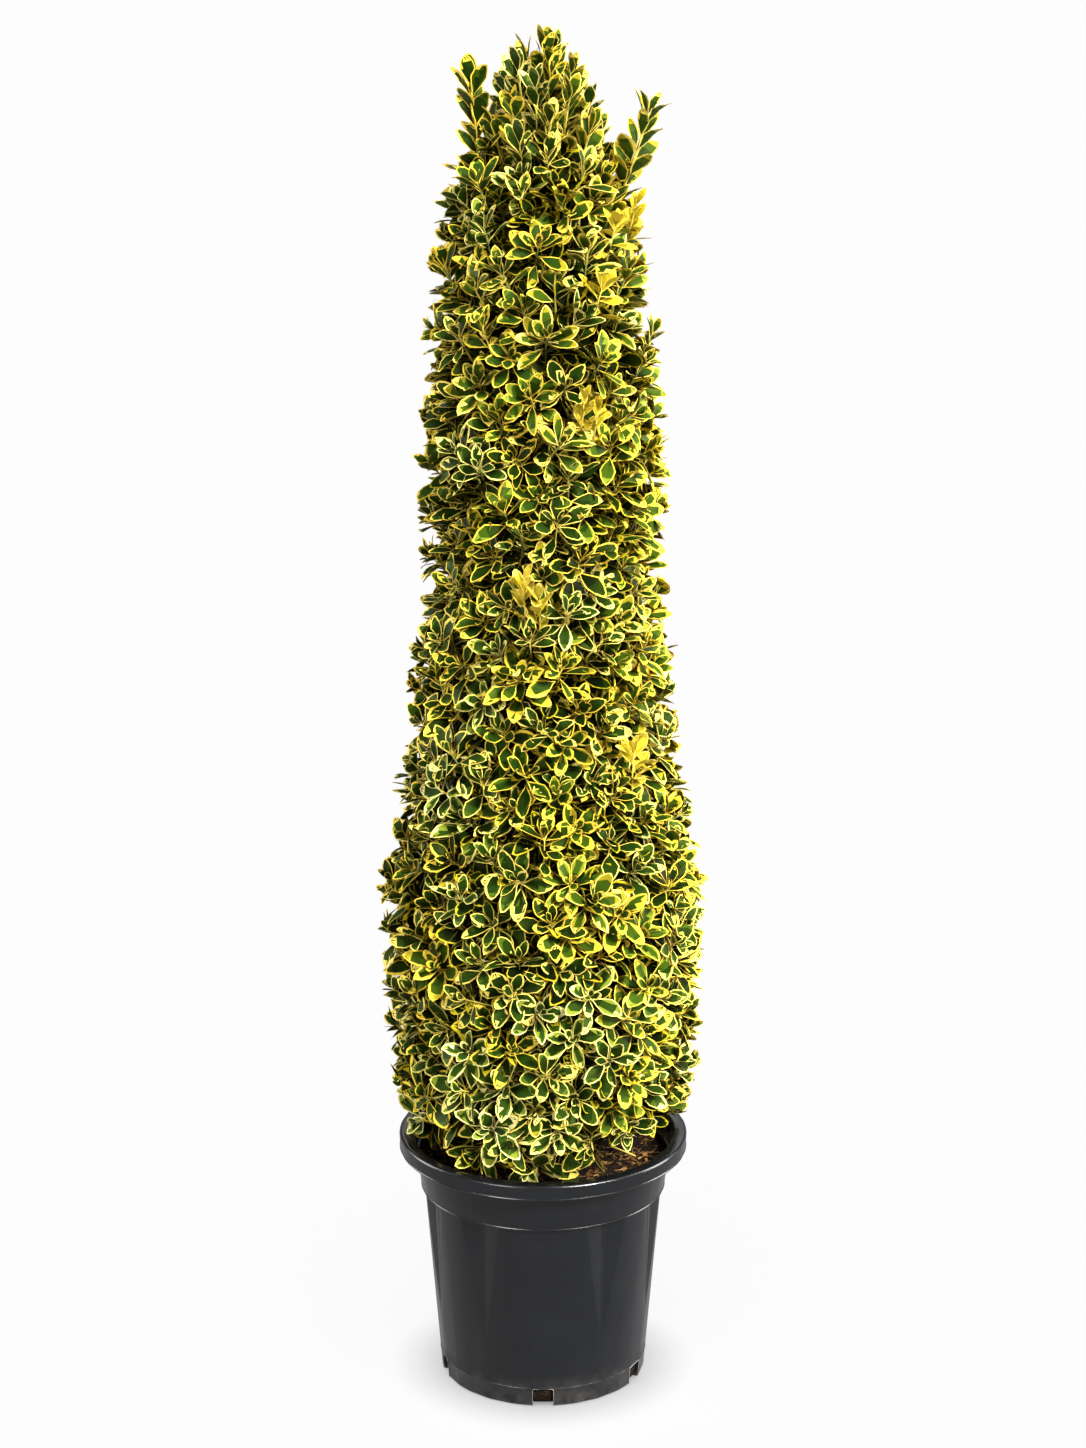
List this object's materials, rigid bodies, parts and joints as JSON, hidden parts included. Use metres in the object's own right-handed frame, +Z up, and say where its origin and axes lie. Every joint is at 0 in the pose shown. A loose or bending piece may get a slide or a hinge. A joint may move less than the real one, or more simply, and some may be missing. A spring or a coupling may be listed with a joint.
{
  "type": "potted variegated japanese spindle",
  "caption": "Tall dense evergreen column of small yellow-edged leaves, trained up one hidden trunk, standing in a round black plastic nursery pot.",
  "frame": {"origin": "middle of the pot's flat underside", "axes": "+Z up along the plant, front towards -Y, +X to the right seen from the front"},
  "size_m": [0.4011, 0.402, 1.7804],
  "materials": {
    "pot_plastic": "black recycled plastic, satin, scuffed and dusty towards the foot",
    "potting_mix": "dark loose potting mix with lighter chips of bark and coir",
    "bark": "grey-brown bark with fine furrows",
    "leaves": "glossy leathery leaves, dark green with yellow to cream edges, some shoots all yellow"
  },
  "bodies": {
    "root": {"pot": "pot_plastic", "soil": "potting_mix", "trunk": "bark", "bough_skirt_1": "bark", "bough_skirt_2": "bark", "bough_skirt_3": "bark", "bough_skirt_4": "bark", "bough_lower_1": "bark", "bough_lower_2": "bark", "bough_lower_3": "bark", "bough_lower_4": "bark", "bough_middle_1": "bark", "bough_middle_2": "bark", "bough_middle_3": "bark", "bough_upper_1": "bark", "bough_upper_2": "bark", "bough_upper_3": "bark", "bough_shoulder_1": "bark", "bough_shoulder_2": "bark", "bough_shoulder_3": "bark", "foliage_skirt_1": "leaves", "foliage_skirt_2": "leaves", "foliage_skirt_3": "leaves", "foliage_skirt_4": "leaves", "foliage_lower_1": "leaves", "foliage_lower_2": "leaves", "foliage_lower_3": "leaves", "foliage_lower_4": "leaves", "foliage_middle_1": "leaves", "foliage_middle_2": "leaves", "foliage_middle_3": "leaves", "foliage_upper_1": "leaves", "foliage_upper_2": "leaves", "foliage_upper_3": "leaves", "foliage_shoulder_1": "leaves", "foliage_shoulder_2": "leaves", "foliage_shoulder_3": "leaves", "foliage_crest": "leaves"}
  },
  "joints": []
}
